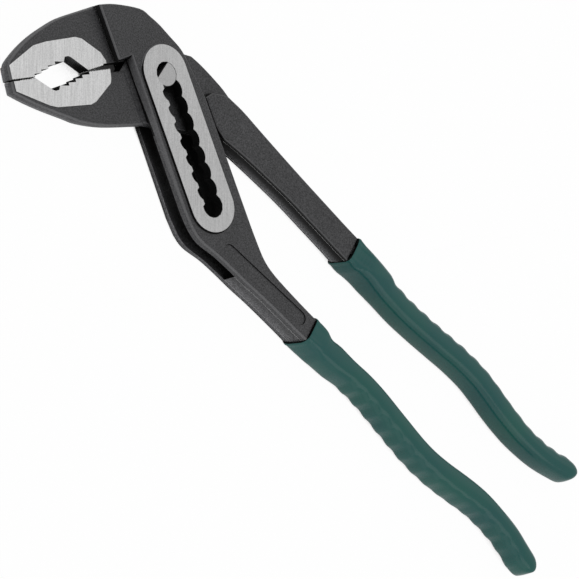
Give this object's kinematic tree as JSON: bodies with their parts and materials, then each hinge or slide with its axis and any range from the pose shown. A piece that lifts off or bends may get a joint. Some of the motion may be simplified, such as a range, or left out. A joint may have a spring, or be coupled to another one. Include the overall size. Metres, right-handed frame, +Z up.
{
  "type": "adjustable pliers",
  "caption": "Box-joint adjustable pliers, closed in the smallest setting: toothed jaws, a D pin in a notched slot, angled head and dipped grips.",
  "frame": {"origin": "middle of the bounding box, on the surface that the pliers lie on", "axes": "+X along the handles towards the grips' ends, +Y from the slotted leg's handle to the inner leg's handle, +Z up out of the surface, along the pin"},
  "size_m": [0.2488, 0.0636, 0.0123],
  "materials": {
    "black_forging": "blackened forging with a fine orange peel",
    "ground_steel": "ground",
    "green_dip": "smooth glossy dip"
  },
  "bodies": {
    "slotted_half": {"slotted_leg": "black_forging", "slotted_leg_grip": "green_dip"},
    "pin": {"pivot_pin": "ground_steel"},
    "inner_half": {"inner_leg": "black_forging", "inner_leg_grip": "green_dip"}
  },
  "joints": [
    {"name": "slot_slide", "type": "slide", "parent": "slotted_half", "child": "pin", "axis": [0.8111, -0.585, 0], "range_m": [0, 0.04352]},
    {"name": "leg_hinge", "type": "hinge", "parent": "pin", "child": "inner_half", "pos_m": [-0.07653, 0.01765, 0.00615], "axis": [0, 0, 1], "range_deg": [0, 60]}
  ]
}
